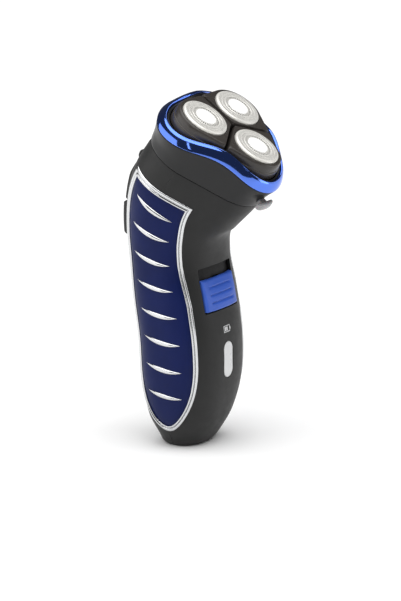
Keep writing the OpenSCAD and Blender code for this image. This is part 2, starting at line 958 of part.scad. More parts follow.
module trimmer_cradle() {
    color("#1a1a1c") {
        back_slab(6.6, 7.6, 92, 131.4, trimmer_half_w + 0.6);
        for (x = [-trimmer_half_w - 1.4, trimmer_half_w + 0.2])
            difference() {
                translate([x, trim_hinge_y - 6, trim_hinge_z - 2.6]) cube([1.2, 7.1, 4.2]);
                translate([x - 1, trim_hinge_y, trim_hinge_z])
                    rotate([0, 90, 0]) cylinder(r = 0.8, h = 4);
            }
    }
}

module trimmer_hinge_pin() {
    color("#c4c7ca")
        translate([-trimmer_half_w - 1.4, trim_hinge_y, trim_hinge_z])
            rotate([0, 90, 0]) cylinder(r = 0.8, h = 2 * trimmer_half_w + 2.8);
}

module trimmer_arm() {
    color("#222224") {
        difference() {
            resize([0, 0, 0])
                union() {
                    back_slab(-0.9, 1.4, arm_bottom_z, trim_hinge_z - 0.6, trimmer_half_w);
                    back_slab(-1.6, 1, arm_bottom_z, 125, trimmer_half_w);
                    back_slab(-2.2, 0.8, arm_bottom_z, 120, trimmer_half_w);
                }
            translate([-20, trim_hinge_y, trim_hinge_z])
                rotate([0, 90, 0]) cylinder(r = 0.8 + running_gap, h = 40);
        }
        difference() {
            translate([-trimmer_half_w, trim_hinge_y, trim_hinge_z])
                rotate([0, 90, 0]) cylinder(r = 3.2, h = 2 * trimmer_half_w);
            translate([-20, trim_hinge_y, trim_hinge_z])
                rotate([0, 90, 0]) cylinder(r = 0.8 + running_gap, h = 40);
        }
    }
}

// Blade pieces lie flat against the arm's lower end, with their teeth pointing down
blade_lean = 12;
module blade_frame() {
    translate([0, 19.6, 112.2]) rotate([blade_lean, 0, 0]) children();
}

module toothed_blade(half_w, height, thick, teeth) {
    pitch = 2 * half_w / teeth;
    rotate([90, 0, 0])
        linear_extrude(thick)
            difference() {
                translate([-half_w, 0]) square([2 * half_w, height]);
                for (i = [0 : teeth - 1])
                    translate([-half_w + (i + 0.5) * pitch - pitch / 4, -1]) square([pitch / 2, 2.6]);
            }
}

module trimmer_comb() {
    color("#c9ccd0") blade_frame() toothed_blade(12.5, 6.5, 0.5, 20);
}

module trimmer_cutter() {
    color("#aeb2b6") blade_frame() translate([0, -0.6, 0.4]) toothed_blade(11.2, 4.6, 0.5, 16);
}

module trimmer_slider() {
    color("#222224")
        difference() {
            union() {
                back_slab(-3.2, 0.9, 95, 110.4, trimmer_half_w);
                translate([-9, 20, 98]) cube([18, 2.4, 8]);
            }
            for (z = [98, 100.6, 103.2])
                translate([-9, 25.8, z]) cube([18, 3, 0.9]);
        }
}

module slider_spring() {
    color("#b5b8bb") translate([0, 19.6, 92.4]) ring_tube(1.1, 0.6, 2.4);
}

// ---------- What is drawn ----------

front_housing();
rear_housing();
side_panel("left");  // side_panel_left
side_panel("right");  // side_panel_right
side_trim("left");  // side_trim_left
side_trim("right");  // side_trim_right
grip_ribs("left");  // grip_ribs_left
grip_ribs("right");  // grip_ribs_right
inner_chassis();
battery();
battery_contacts();
circuit_board();
charge_led();
charge_lens();
charging_socket();
socket_contact();
housing_screws();
switch_track();
power_switch();
switch_contact();
motor_can();
motor_magnets();
motor_end_cap();
motor_armature();
motor_shaft();
drive_pinion();
gear_plate();
drive_deck();
deck_screws();
neck_seal();
spindle(270);  // spindle_front
spindle(150);  // spindle_left
spindle(30);  // spindle_right
head_hinge_pin();
head_housing();
head_ring();
cutter_retainer();
retainer_knob();
release_button();
button_spring();
pod(270);  // pod_front
pod(150);  // pod_left
pod(30);  // pod_right
guard(270);  // guard_front
guard(150);  // guard_left
guard(30);  // guard_right
guard_cap(270);  // guard_cap_front
guard_cap(150);  // guard_cap_left
guard_cap(30);  // guard_cap_right
cutter(270);  // cutter_front
cutter(150);  // cutter_left
cutter(30);  // cutter_right
trimmer_cradle();
trimmer_hinge_pin();
trimmer_arm();
trimmer_comb();
trimmer_cutter();
trimmer_slider();
slider_spring();
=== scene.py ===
"""Rotary shaver: detailed pieces, materials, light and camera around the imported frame."""
import json
import math
import bmesh
import bpy
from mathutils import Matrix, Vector
from mathutils.bvhtree import BVHTree


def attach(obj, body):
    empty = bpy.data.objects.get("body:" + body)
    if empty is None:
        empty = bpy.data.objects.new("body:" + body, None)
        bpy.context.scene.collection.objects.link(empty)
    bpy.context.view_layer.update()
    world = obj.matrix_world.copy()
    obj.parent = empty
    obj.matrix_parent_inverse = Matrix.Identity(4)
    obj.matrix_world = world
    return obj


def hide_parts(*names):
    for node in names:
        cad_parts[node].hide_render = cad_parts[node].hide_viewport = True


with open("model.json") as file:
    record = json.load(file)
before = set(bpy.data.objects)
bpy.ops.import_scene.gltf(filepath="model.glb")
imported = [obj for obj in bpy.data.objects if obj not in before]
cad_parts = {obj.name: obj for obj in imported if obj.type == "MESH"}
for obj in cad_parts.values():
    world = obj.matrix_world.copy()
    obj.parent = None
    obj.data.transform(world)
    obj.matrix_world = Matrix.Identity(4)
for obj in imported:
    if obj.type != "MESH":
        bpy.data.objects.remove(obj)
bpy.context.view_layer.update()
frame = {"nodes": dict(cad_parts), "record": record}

MM = 0.001


def sin(deg):
    return math.sin(math.radians(deg))


def cos(deg):
    return math.cos(math.radians(deg))


# ---------- The grip's surface, in millimetres ----------

HEAD_HEIGHT, HEAD_FORWARD, HEAD_TILT, SEAM_DEPTH = 148.7, 25.0, 35.0, 23.0
SEAM_Y = -HEAD_FORWARD + SEAM_DEPTH * sin(HEAD_TILT)
SEAM_Z = HEAD_HEIGHT - SEAM_DEPTH * cos(HEAD_TILT)
# Distance along the grip, centre y and z, tilt, half width, half depth, roundness, triangle share
SECTIONS = [
    (0, -0.8, 0, 0, 10.5, 8.2, 2.2, 0),
    (2, -1, 0.7, 0, 12.7, 10, 2.2, 0),
    (6.5, -1.8, 4, 0, 15, 11.9, 2.3, 0),
    (17, -2.4, 14, 0, 20.3, 16.2, 2.5, 0),
    (34, -3, 30, 0, 23.8, 19.2, 2.6, 0),
    (54, -2.4, 50, 0, 24.6, 19.8, 2.6, 0),
    (74, 0.7, 70, 0, 24.5, 19.5, 2.6, 0),
    (90, 3.1, 85, 3, 24, 19.1, 2.6, 0),
    (104, 3.3, 99, 10, 24.5, 20, 2.5, 0.15),
    (120, -1, 114.8, 30, 26, 22.5, 2.3, 0.65),
    (137, SEAM_Y, SEAM_Z, HEAD_TILT, 27, 27, 2.1, 1),
]
GRIP_LENGTH = SECTIONS[-1][0]
NECK_LOBE_R, NECK_CORNER_R = 12.6, 16.9
WALL, PANEL_RECESS = 1.8, 1.1
LOBES = {"front": 270, "left": 150, "right": 30}
PITCH_R = 15.0
TRIM_WIDTH = 2.4


def section(s):
    """All columns of SECTIONS at distance s, on a smooth curve through the rows."""
    last = len(SECTIONS) - 1
    i = 0
    while i < last - 1 and s > SECTIONS[i + 1][0]:
        i += 1
    low, high = SECTIONS[i], SECTIONS[i + 1]
    h = high[0] - low[0]
    t = (s - low[0]) / h
    before, after = SECTIONS[max(i - 1, 0)], SECTIONS[min(i + 2, last)]
    out = []
    for c in range(1, 8):
        m0 = (high[c] - before[c]) / (high[0] - before[0])
        m1 = (after[c] - low[c]) / (after[0] - low[0])
        out.append((2 * t**3 - 3 * t**2 + 1) * low[c] + (t**3 - 2 * t**2 + t) * h * m0
                   + (3 * t**2 - 2 * t**3) * high[c] + (t**3 - t**2) * h * m1)
    return out


def triangle_r(phi, r, c):
    """Radius of a rounded triangle with corner circles of radius c on a circle of radius r."""
    off = abs((phi + 150) % 120 - 60)
    tangent = math.degrees(math.atan2(c * sin(60), r + c / 2))
    if off < tangent:
        return r * cos(off) + math.sqrt(c * c - (r * sin(off)) ** 2)
    return (r / 2 + c) / cos(60 - off)


def oval_r(phi, a, b, n):
    """Radius of a rounded oval of half width a and half depth b; n is how square it is."""
    return (abs(cos(phi) / a) ** n + abs(sin(phi) / b) ** n) ** (-1 / n)


def grip_point(s, phi, inset=0.0):
    """Point of the grip's surface, or inset below it, at distance s and angle phi."""
    yc, zc, tilt, a, b, n, share = section(s)
    neck = triangle_r(phi, NECK_LOBE_R, NECK_CORNER_R)
    r = (1 - share) * oval_r(phi, a, b, n) + share * neck - inset
    return Vector((r * cos(phi), yc + r * sin(phi) * cos(tilt), zc + r * sin(phi) * sin(tilt)))


HEAD_V = Vector((0, cos(HEAD_TILT), sin(HEAD_TILT)))
HEAD_W = Vector((0, -sin(HEAD_TILT), cos(HEAD_TILT)))
HEAD_O = Vector((0, -HEAD_FORWARD, HEAD_HEIGHT))


def head_point(u, v, w):
    """Point in the head's frame: u across, v to the rear, w along the head's axis."""
    return HEAD_O + Vector((u, 0, 0)) + HEAD_V * v + HEAD_W * w


def head_polar(phi, r, w):
    return head_point(r * cos(phi), r * sin(phi), w)


def lobe_point(angle, x, y, w):
    """Point in one cutter's own frame, with +x pointing outward from the head's centre."""
    cx = PITCH_R + x
    return head_point(cx * cos(angle) - y * sin(angle), cx * sin(angle) + y * cos(angle), w)


def smooth_step(low, high, x):
    """0 below low, 1 above high, and a smooth curve between."""
    t = min(1.0, max(0.0, (x - low) / (high - low)))
    return t * t * (3 - 2 * t)


def spread(low, high, count):
    """Values from low to high in count equal steps."""
    return [low + (high - low) * i / count for i in range(count + 1)]


def curve_through(points, count):
    """Points on a smooth curve through the given ones, count steps between neighbours."""
    out = []
    last = len(points) - 1
    for i in range(last):
        p0, p1 = points[max(i - 1, 0)], points[i]
        p2, p3 = points[i + 1], points[min(i + 2, last)]
        for k in range(count):
            t = k / count
            out.append(tuple(
                0.5 * (2 * b + (c - a) * t + (2 * a - 5 * b + 4 * c - d) * t * t
                       + (3 * b - a - 3 * c + d) * t**3)
                for a, b, c, d in zip(p0, p1, p2, p3)))
    out.append(tuple(points[-1]))
    return out


# ---------- Mesh building ----------

# Degrees above which an edge is sharp, and millimetres below which two points are one
CREASE, MERGE = 32.0, 0.001


def mesh_object(name, verts, faces):
    mesh = bpy.data.meshes.new(name)
    mesh.from_pydata([Vector(v) * MM for v in verts], [], faces)
    obj = bpy.data.objects.new(name, mesh)
    bpy.context.scene.collection.objects.link(obj)
    return obj


def settle(obj, crease=CREASE):
    """Outward normals, no doubled points, smooth faces with sharp edges where the surface turns."""
    bm = bmesh.new()
    bm.from_mesh(obj.data)
    bmesh.ops.remove_doubles(bm, verts=bm.verts, dist=MERGE * MM)
    bmesh.ops.dissolve_degenerate(bm, edges=bm.edges, dist=MERGE * MM)
    bmesh.ops.recalc_face_normals(bm, faces=bm.faces)
    for f in bm.faces:
        f.smooth = True
    for e in bm.edges:
        e.smooth = len(e.link_faces) == 2 and e.calc_face_angle(0) < math.radians(crease)
    bm.to_mesh(obj.data)
    bm.free()


def skin(loops, ring=False):
    """Vertices and faces of a solid through loops of equally many points, capped or made a ring."""
    n, m = len(loops[0]), len(loops)
    verts = [p for loop in loops for p in loop]
    faces = []
    for i in range(m if ring else m - 1):
        k = (i + 1) % m
        for j in range(n):
            q = (j + 1) % n
            faces.append((i * n + j, i * n + q, k * n + q, k * n + j))
    if not ring:
        faces.append(tuple(range(n - 1, -1, -1)))
        faces.append(tuple((m - 1) * n + j for j in range(n)))
    return verts, faces


def slab(top, bottom):
    """Closed block between two grids of points."""
    m, n = len(top), len(top[0])
    verts = [p for row in top for p in row] + [p for row in bottom for p in row]
    off = m * n
    faces = []
    for i in range(m - 1):
        for j in range(n - 1):
            a, b, c, d = i * n + j, i * n + j + 1, (i + 1) * n + j + 1, (i + 1) * n + j
            faces += [(a, b, c, d), (off + d, off + c, off + b, off + a)]
    rim = ([(0, j) for j in range(n - 1)] + [(i, n - 1) for i in range(m - 1)]
           + [(m - 1, j) for j in range(n - 1, 0, -1)] + [(i, 0) for i in range(m - 1, 0, -1)])
    for k, (i, j) in enumerate(rim):
        i2, j2 = rim[(k + 1) % len(rim)]
        a, b = i * n + j, i2 * n + j2
        faces.append((b, a, off + a, off + b))
    return verts, faces


def box_mesh(low, high):
    x, y, z = zip(low, high)
    verts = [(x[i], y[j], z[k]) for k in (0, 1) for j in (0, 1) for i in (0, 1)]
    faces = [(0, 2, 3, 1), (4, 5, 7, 6), (0, 1, 5, 4), (2, 6, 7, 3), (0, 4, 6, 2), (1, 3, 7, 5)]
    return verts, faces


def join(shape, verts, faces):
    """A shape and more vertices and faces, as one shape."""
    start = len(shape[0])
    return shape[0] + verts, shape[1] + [tuple(start + q for q in face) for face in faces]


def carve(obj, cutters):
    """Cuts the cutters' shapes out of obj for good, and deletes the cutters."""
    for c in cutters:
        mod = obj.modifiers.new("cut", "BOOLEAN")
        mod.operation, mod.solver, mod.object = "DIFFERENCE", "EXACT", c
    bpy.context.view_layer.update()
    shown = obj.evaluated_get(bpy.context.evaluated_depsgraph_get())
    result = bpy.data.meshes.new_from_object(shown)
    obj.modifiers.clear()
    obj.data = result
    for c in cutters:
        bpy.data.objects.remove(c)


def prism(points, direction, length):
    """Cutter: a flat outline pushed along a direction."""
    step = Vector(direction) * length
    verts, faces = skin([list(points), [Vector(p) + step for p in points]])
    obj = mesh_object("cutter", verts, faces)
    settle(obj)
    return obj


CYLINDER_SIDES = 48


def cylinder_points(centre, axis, radius):
    """Points of a circle about an axis."""
    axis = Vector(axis).normalized()
    side = axis.orthogonal().normalized()
    other = axis.cross(side)
    turns = [math.tau * i / CYLINDER_SIDES for i in range(CYLINDER_SIDES)]
    return [Vector(centre) + side * (radius * math.cos(turn)) + other * (radius * math.sin(turn))
            for turn in turns]


def finish_piece(obj, material, body, stands_for=(), crease=CREASE):
    """Cleans the mesh, gives it its material and slot, and rides it on its body."""
    settle(obj, crease)
    obj.data.materials.clear()
    obj.data.materials.append(material)
    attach(obj, body)
    if stands_for:
        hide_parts(*stands_for)
    return obj


def add_piece(name, shape, material, body, stands_for=(), crease=CREASE):
    return finish_piece(mesh_object(name, *shape), material, body, stands_for, crease)


# ---------- Materials ----------

# Cosines between the rounded and the true normal at which an edge starts and ends to look worn
WEAR_END, WEAR_START = 0.90, 0.995
BLOTCH_SCALE, SCUFF_SCALE = 60.0, 270.0


class Nodes:
    """Short way to add and link shader nodes."""

    def __init__(self, name):
        self.material = bpy.data.materials.new(name)
        self.material.use_nodes = True
        self.tree = self.material.node_tree
        self.shader = self.tree.nodes["Principled BSDF"]
        self.place = self.add("ShaderNodeTexCoord").outputs["Object"]

    def add(self, kind, **sockets):
        node = self.tree.nodes.new(kind)
        for key, value in sockets.items():
            self.set(node, key.replace("_", " "), value)
        return node

    def set(self, node, key, value):
        socket = node.inputs[key]
        if isinstance(value, bpy.types.NodeSocket):
            self.tree.links.new(value, socket)
        else:
            socket.default_value = value

    def noise(self, scale, detail=3.0, rough=0.55, stretch=None):
        node = self.add("ShaderNodeTexNoise", Scale=scale, Detail=detail, Roughness=rough)
        place = self.place
        if stretch:
            mapping = self.add("ShaderNodeMapping", Vector=self.place, Scale=stretch)
            place = mapping.outputs["Vector"]
        self.tree.links.new(place, node.inputs["Vector"])
        return node.outputs["Fac"]

    def span(self, value, low, high, start=0.3, end=0.7):
        node = self.add("ShaderNodeMapRange", Value=value, From_Min=start, From_Max=end)
        node.inputs["To Min"].default_value = low
        node.inputs["To Max"].default_value = high
        return node.outputs["Result"]

    def mix(self, factor, a, b):
        node = self.tree.nodes.new("ShaderNodeMix")
        node.data_type = "RGBA"
        self.set(node, 0, factor)
        self.set(node, 6, a)
        self.set(node, 7, b)
        return node.outputs[2]

    def edges(self, radius):
        """1 on edges that a bevel of this radius would round, 0 on open surfaces."""
        bevel = self.add("ShaderNodeBevel", Radius=radius * MM)
        bevel.samples = 4
        normal = self.add("ShaderNodeNewGeometry").outputs["Normal"]
        dot = self.tree.nodes.new("ShaderNodeVectorMath")
        dot.operation = "DOT_PRODUCT"
        self.tree.links.new(bevel.outputs["Normal"], dot.inputs[0])
        self.tree.links.new(normal, dot.inputs[1])
        worn = self.span(dot.outputs["Value"], 1.0, 0.0, WEAR_END, WEAR_START)
        return worn, bevel.outputs["Normal"]

    def crevice_shade(self, distance):
        """Mask for painted shade from ambient occlusion: 1 in the open, falling to 0 in grooves and
        corners narrower than this distance.
        """
        node = self.add("ShaderNodeAmbientOcclusion", Distance=distance * MM)
        node.samples = 6
        node.only_local = True
        return self.span(node.outputs["AO"], 0.0, 1.0, 0.25, 0.8)

    def bump(self, height, strength, distance, normal):
        node = self.add("ShaderNodeBump", Height=height, Strength=strength, Distance=distance * MM,
                        Normal=normal)
        return node.outputs["Normal"]


def rgb(r, g, b):
    """Linear colour from display values of 0 to 255."""
    def linear(v):
        v /= 255
        return v / 12.92 if v <= 0.04045 else ((v + 0.055) / 1.055) ** 2.4
    return (linear(r), linear(g), linear(b), 1.0)


def tone(colour, factor):
    """The colour made darker or lighter by a factor."""
    return tuple(min(1.0, c * factor) for c in colour[:3]) + (1.0,)


def surface(name, colour, rough, spread_of=0.12, rough_spread=0.06, metal=0.0, grain=900.0,
            grain_depth=0.01, grain_strength=0.25, bevel=0.25, wear=None, stretch=None,
            specular=0.5, subsurface=0.0, groove=0.0, groove_shade_tone=0.06):
    """Procedural finish: two-tone colour, varying roughness, fine grain, worn edges and painted shade in
    grooves.

    spread_of and rough_spread are how far colour and roughness vary. grain_depth, bevel and groove
    are in millimetres. Grooves narrower than groove get painted shade: they are darkened to
    groove_shade_tone of the colour.
    """
    n = Nodes(name)
    cloud = n.noise(BLOTCH_SCALE, 4.0, stretch=stretch)
    base = n.mix(n.span(cloud, 0.0, 1.0), tone(colour, 1 - spread_of), tone(colour, 1 + spread_of))
    worn, rounded = n.edges(bevel)
    if wear:
        base = n.mix(n.span(worn, 0.0, 0.8, 0.0, 1.0), base, wear)
    # Painted shade: grooves and corners are darkened by ambient occlusion
    if groove:
        base = n.mix(n.crevice_shade(groove), tone(colour, groove_shade_tone), base)
    n.set(n.shader, "Base Color", base)
    scuffs = n.noise(SCUFF_SCALE, 5.0, 0.65, stretch)
    n.set(n.shader, "Roughness", n.span(scuffs, rough - rough_spread, rough + rough_spread))
    fine = n.noise(grain, 2.0, 0.6, stretch)
    n.set(n.shader, "Normal", n.bump(fine, grain_strength, grain_depth, rounded))
    n.shader.inputs["Metallic"].default_value = metal
    n.shader.inputs["Specular IOR Level"].default_value = specular
    n.shader.inputs["Subsurface Weight"].default_value = subsurface
    n.shader.inputs["Subsurface Scale"].default_value = 0.002
    return n.material


# groove and groove_shade_tone paint shade into the grooves and corners of the housing, trim, switch, pods
# and guards
FINISH = {
    "housing_plastic": surface("soft_black_plastic", rgb(28, 28, 28), 0.48, 0.10, 0.05, grain=2600,
                               grain_depth=0.012, grain_strength=0.3, wear=rgb(50, 50, 51), specular=0.3,
                               groove=0.5, groove_shade_tone=0.3),
    "panel_blue": surface("navy_satin_panel", rgb(4, 20, 72), 0.42, 0.12, 0.05, grain=2200,
                          grain_depth=0.008, grain_strength=0.22, wear=rgb(22, 42, 104), specular=0.16),
    "chrome_trim": surface("bright_chrome", rgb(206, 207, 208), 0.1, 0.03, 0.03, metal=1.0, grain=500,
                           grain_depth=0.003, grain_strength=0.1, wear=rgb(236, 236, 236), bevel=0.12,
                           groove=0.7, groove_shade_tone=0.08),
    "ring_blue": surface("blue_chrome", rgb(92, 126, 222), 0.08, 0.05, 0.02, metal=1.0, grain=400,
                         grain_depth=0.003, grain_strength=0.08, wear=rgb(140, 166, 238), bevel=0.2),
    "switch_blue": surface("blue_switch_plastic", rgb(54, 92, 190), 0.36, 0.08, 0.05, grain=1800,
                           grain_depth=0.01, grain_strength=0.25, wear=rgb(92, 124, 206), specular=0.35,
                           groove=0.8, groove_shade_tone=0.35),
    "gloss_black": surface("semi_gloss_black", rgb(23, 23, 24), 0.34, 0.12, 0.05, grain=2000,
                           grain_depth=0.006, grain_strength=0.15, wear=rgb(42, 42, 44), specular=0.3),
    "pod_black": surface("pod_plastic", rgb(56, 52, 49), 0.3, 0.12, 0.05, grain=2400, grain_depth=0.008,
                         grain_strength=0.2, wear=rgb(78, 74, 70), bevel=0.25, specular=0.42,
                         groove=0.8, groove_shade_tone=0.1),
    "guard_steel": surface("guard_steel", rgb(232, 230, 224), 0.36, 0.04, 0.05, metal=0.25, grain=1500,
                           grain_depth=0.003, grain_strength=0.12, wear=rgb(244, 243, 240), bevel=0.1,
                           groove=0.35, groove_shade_tone=0.25),
    "cap_steel": surface("polished_cap", rgb(252, 252, 252), 0.36, 0.02, 0.05, grain=900,
                         grain_depth=0.003, grain_strength=0.12, wear=rgb(248, 248, 248)),
    "cutter_steel": surface("cutter_steel", rgb(160, 162, 164), 0.26, 0.08, 0.08, metal=1.0, grain=1200,
                            grain_depth=0.004, wear=rgb(214, 214, 216), bevel=0.12),
    "lens_clear": surface("milky_lens", rgb(212, 213, 214), 0.3, 0.02, 0.05, grain=1500, grain_depth=0.004,
                          grain_strength=0.12, wear=rgb(232, 232, 234)),
    "button_grey": surface("smoky_button", rgb(150, 150, 152), 0.3, 0.08, 0.06, grain=1600,
                           grain_depth=0.006, wear=rgb(186, 186, 188), subsurface=0.2),
    "dark_plastic": surface("dark_moulded_plastic", rgb(16, 16, 17), 0.55, 0.15, 0.06, grain=2000,
                            grain_depth=0.012, wear=rgb(30, 30, 32), specular=0.2),
    "white_nylon": surface("white_nylon", rgb(222, 218, 206), 0.46, 0.05, 0.06, grain=1500,
                           grain_depth=0.01, wear=rgb(238, 236, 228), subsurface=0.1),
    "cell_green": surface("cell_sleeve", rgb(48, 122, 72), 0.36, 0.12, 0.08, grain=700, grain_depth=0.008,
                          wear=rgb(120, 170, 130)),
    "board_green": surface("circuit_board", rgb(24, 84, 46), 0.4, 0.15, 0.08, grain=900, grain_depth=0.02,
                           wear=rgb(90, 130, 90)),
    "contact_brass": surface("contact_brass", rgb(206, 180, 104), 0.28, 0.08, 0.08, metal=1.0,
                             wear=rgb(230, 214, 160)),
    "plain_steel": surface("plain_steel", rgb(150, 153, 156), 0.3, 0.08, 0.08, metal=1.0, grain=800,
                           grain_depth=0.005, wear=rgb(210, 210, 212), bevel=0.15),
    "winding_copper": surface("copper_winding", rgb(176, 98, 52), 0.34, 0.15, 0.1, metal=1.0, grain=1400,
                              grain_depth=0.03, grain_strength=0.5, stretch=(1, 1, 8)),
    "seal_rubber": surface("seal_rubber", rgb(20, 20, 20), 0.62, 0.15, 0.06, grain=1600, grain_depth=0.015,
                           wear=rgb(44, 44, 44)),
}


def finish_cad_nodes():
    """Gives every CAD node its procedural material."""
    slots = {s["node"]: s["material_slot"] for s in frame["record"]["subparts"]}
    for name, obj in frame["nodes"].items():
        for place in obj.material_slots:
            place.material = FINISH[slots[name]]


# ---------- Grip pieces ----------

# Side panel's outline: its foot is rounded from PANEL_FOOT to PANEL_ROUND along the grip, and its
# half angle narrows from PANEL_WIDE to PANEL_NARROW between TAPER_START and TAPER_END
PANEL_FOOT, PANEL_ROUND, PANEL_TOP = 11, 45, 126
PANEL_WIDE, PANEL_NARROW = 40, 36
TAPER_START, TAPER_END = 72, 92
RECESS_EDGE, RECESS_GAP = 1.3, 0.1


def panel_limits(edge):
    """Foot, top and lost half angle of the panel's outline, when it is shrunk by edge."""
    return PANEL_FOOT + edge * 1.25, PANEL_TOP - edge * 1.2, edge * 2.4


def panel_half(s, edge):
    """Half angle of the shrunk outline at distance s."""
    foot, _, turn = panel_limits(edge)
    if s < PANEL_ROUND:
        off = (PANEL_ROUND - s) / (PANEL_ROUND - foot)
        return (PANEL_WIDE - turn) * math.sqrt(max(0.0, 1 - off**2))
    share = min(1.0, max(0.0, (s - TAPER_START) / (TAPER_END - TAPER_START)))
    return PANEL_WIDE - (PANEL_WIDE - PANEL_NARROW) * share - turn


def panel_edge(edge, rows):
    """Pairs (distance, half angle) up the front edge of the panel's outline, shrunk by edge."""
    foot, top, _ = panel_limits(edge)
    levels = [PANEL_ROUND - (PANEL_ROUND - foot) * cos(90 * i / rows) for i in range(rows + 1)]
    levels += spread(PANEL_ROUND, top, rows * 2)[1:]
    return [(s, panel_half(s, edge)) for s in levels]


def panel_depth(s, phi):
    """How far the housing sinks under the panel at this place."""
    foot, top, _ = panel_limits(RECESS_EDGE)
    off = min(abs(phi - 180), phi, 360 - phi)
    if s <= foot or s >= top or off >= panel_half(s, RECESS_EDGE):
        return 0.0
    return PANEL_RECESS + RECESS_GAP


def grip_levels(count):
    """Distances along the grip, closer together at the foot and the seam."""
    low = [0, 0.25, 0.6, 1.1, 1.7, 2.4, 3.3, 4.4, 5.6, 6.9, 8.2]
    levels = low + spread(9.2, GRIP_LENGTH - 1.2, count)
    return levels + [GRIP_LENGTH - 0.8, GRIP_LENGTH - 0.45, GRIP_LENGTH - 0.2, GRIP_LENGTH]


def edge_round(distance, radius):
    """Inset that rounds an edge: radius at the edge itself, 0 at radius away from it."""
    if distance >= radius:
        return 0.0
    return radius - math.sqrt(max(0.0, radius**2 - (radius - distance) ** 2))


# Average millimetres per degree around the grip, and the eased edges of the housing halves
MM_PER_DEGREE, PARTING_ROUND, END_ROUND = 0.42, 0.3, 0.35
TIGHT_SEAM_FROM = 60


def half_grip(start, levels, columns):
    """Solid half of the grip, from angle start over 180 degrees, with eased edges at its parting line."""
    near = [0, 0.35, 0.8, 1.4]
    phis = [start + a for a in near] + spread(start + 2.4, start + 177.6, columns) + \
        [start + 180 - a for a in reversed(near)]
    loops = []
    for s in levels:
        loop = []
        for phi in phis:
            p = phi % 360
            deep = panel_depth(s, p)
            from_seam = min(phi - start, start + 180 - phi) * MM_PER_DEGREE
            around = edge_round(from_seam, PARTING_ROUND) * (0.25 if s > TIGHT_SEAM_FROM else 1.0)
            end = edge_round(GRIP_LENGTH - s, END_ROUND) + edge_round(s, END_ROUND) * 0.5
            loop.append(grip_point(s, p, max(deep, around + end)))
        loops.append(loop)
    return skin(loops)


def full_grip(inset, start, columns, over, count=60):
    """Whole grip from distance start up, carried on past the seam by over."""
    phis = [360 * j / columns for j in range(columns)]
    loops = [[grip_point(s, p, inset) for p in phis] for s in spread(start, GRIP_LENGTH, count)]
    loops.append([p + HEAD_W * over for p in loops[-1]])
    return skin(loops)


SWITCH_O, SWITCH_LEAN = Vector((0, -19.2, 71.2)), -11


def switch_point(x, y, z):
    """Point in the switch's leaning frame."""
    return SWITCH_O + Vector((x, y * cos(SWITCH_LEAN) - z * sin(SWITCH_LEAN),
                              y * sin(SWITCH_LEAN) + z * cos(SWITCH_LEAN)))


def rounded_outline(half_w, low, high, radius, count=8):
    """Flat outline of a rounded rectangle, as (x, z) pairs."""
    out = []
    for cx, cz, a in ((half_w - radius, low + radius, -90), (half_w - radius, high - radius, 0),
                      (radius - half_w, high - radius, 90), (radius - half_w, low + radius, 180)):
        for k in range(count + 1):
            t = a + 90 * k / count
            out.append((cx + radius * cos(t), cz + radius * sin(t)))
    return out


LENS_Z, LENS_HALF, LENS_R, LENS_GAP, PILL_STEPS = 40.75, 4.75, 3.5, 0.22, 24
MARK_Z = 54.8
# Openings as half width, low end, high end and corner radius
SWITCH_WINDOW = (13, -7.5, 13, 0.8)
TRIM_WINDOW, PIN_POCKET = (14.3, 91, 135.2, 1.2), (15.6, 128.8, 133.4, 0.4)
SCREW_X, SCREW_Z = 8, 32
# Hinge of the head, in the head's frame, and hinge of the trimmer
HINGE_V, HINGE_W = 21.5, -23.5
TRIM_HINGE_Y, TRIM_HINGE_Z, TRIM_HALF_W = 13.2, 131.6, 13.9


def pill(radius):
    """Flat outline of the charge window, with the given radius at its ends."""
    out = []
    for start, middle in ((0, LENS_HALF), (180, -LENS_HALF)):
        for k in range(PILL_STEPS + 1):
            a = start + 180 * k / PILL_STEPS
            out.append((radius * cos(a), middle + radius * sin(a)))
    return out


def build_housings():
    """Front and rear shell, hollow, with their windows and holes."""
    levels = grip_levels(120)
    halves = (("front_housing", 180, front_cutters), ("rear_housing", 0, rear_cutters))
    for name, start, cutters in halves:
        obj = mesh_object(name + "_shell", *half_grip(start, levels, 96))
        settle(obj)
        inner = mesh_object("inner", *full_grip(WALL, 4.5, 96, 1.0))
        settle(inner)
        carve(obj, [inner] + cutters())
        finish_piece(obj, FINISH["housing_plastic"], "body", [name], crease=34)


def front_cutters():
    """Openings of the front shell: switch window, charge window and charging inlet."""
    window = [switch_point(x, -12, z) for x, z in rounded_outline(*SWITCH_WINDOW)]
    lens = [Vector((x, -40, LENS_Z + z)) for x, z in pill(LENS_R + LENS_GAP)]
    socket = cylinder_points((0, -4.7, -1), (0, 0, 1), 3.25)
    across = switch_point(0, 1, 0) - SWITCH_O
    return [prism(window, across, 20), prism(lens, (0, 1, 0), 30), prism(socket, (0, 0, 1), 8)]


def rear_cutters():
    """Openings of the rear shell: trimmer window, pin pockets, hinge relief and screw holes."""
    window = [Vector((x, 6, z)) for x, z in rounded_outline(*TRIM_WINDOW)]
    pocket = [Vector((x, 6.2, z)) for x, z in rounded_outline(*PIN_POCKET)]
    hinge = cylinder_points(head_point(-20, HINGE_V, HINGE_W), (1, 0, 0), 3.1)
    cutters = [prism(window, (0, 1, 0), 30), prism(pocket, (0, 1, 0), 8.2), prism(hinge, (1, 0, 0), 40)]
    for x in (-SCREW_X, SCREW_X):
        for y, radius in ((14, 2.1), (9.8, 1.0)):
            cutters.append(prism(cylinder_points((x, y, SCREW_Z), (0, 1, 0), radius), (0, 1, 0), 30))
    return cutters


def side_phi(side, angle):
    """Angle around the grip for an angle off the flank's middle, positive to the front."""
    return 180 + angle if side == "left" else (360 - angle) % 360


EDGE_ROWS = 56
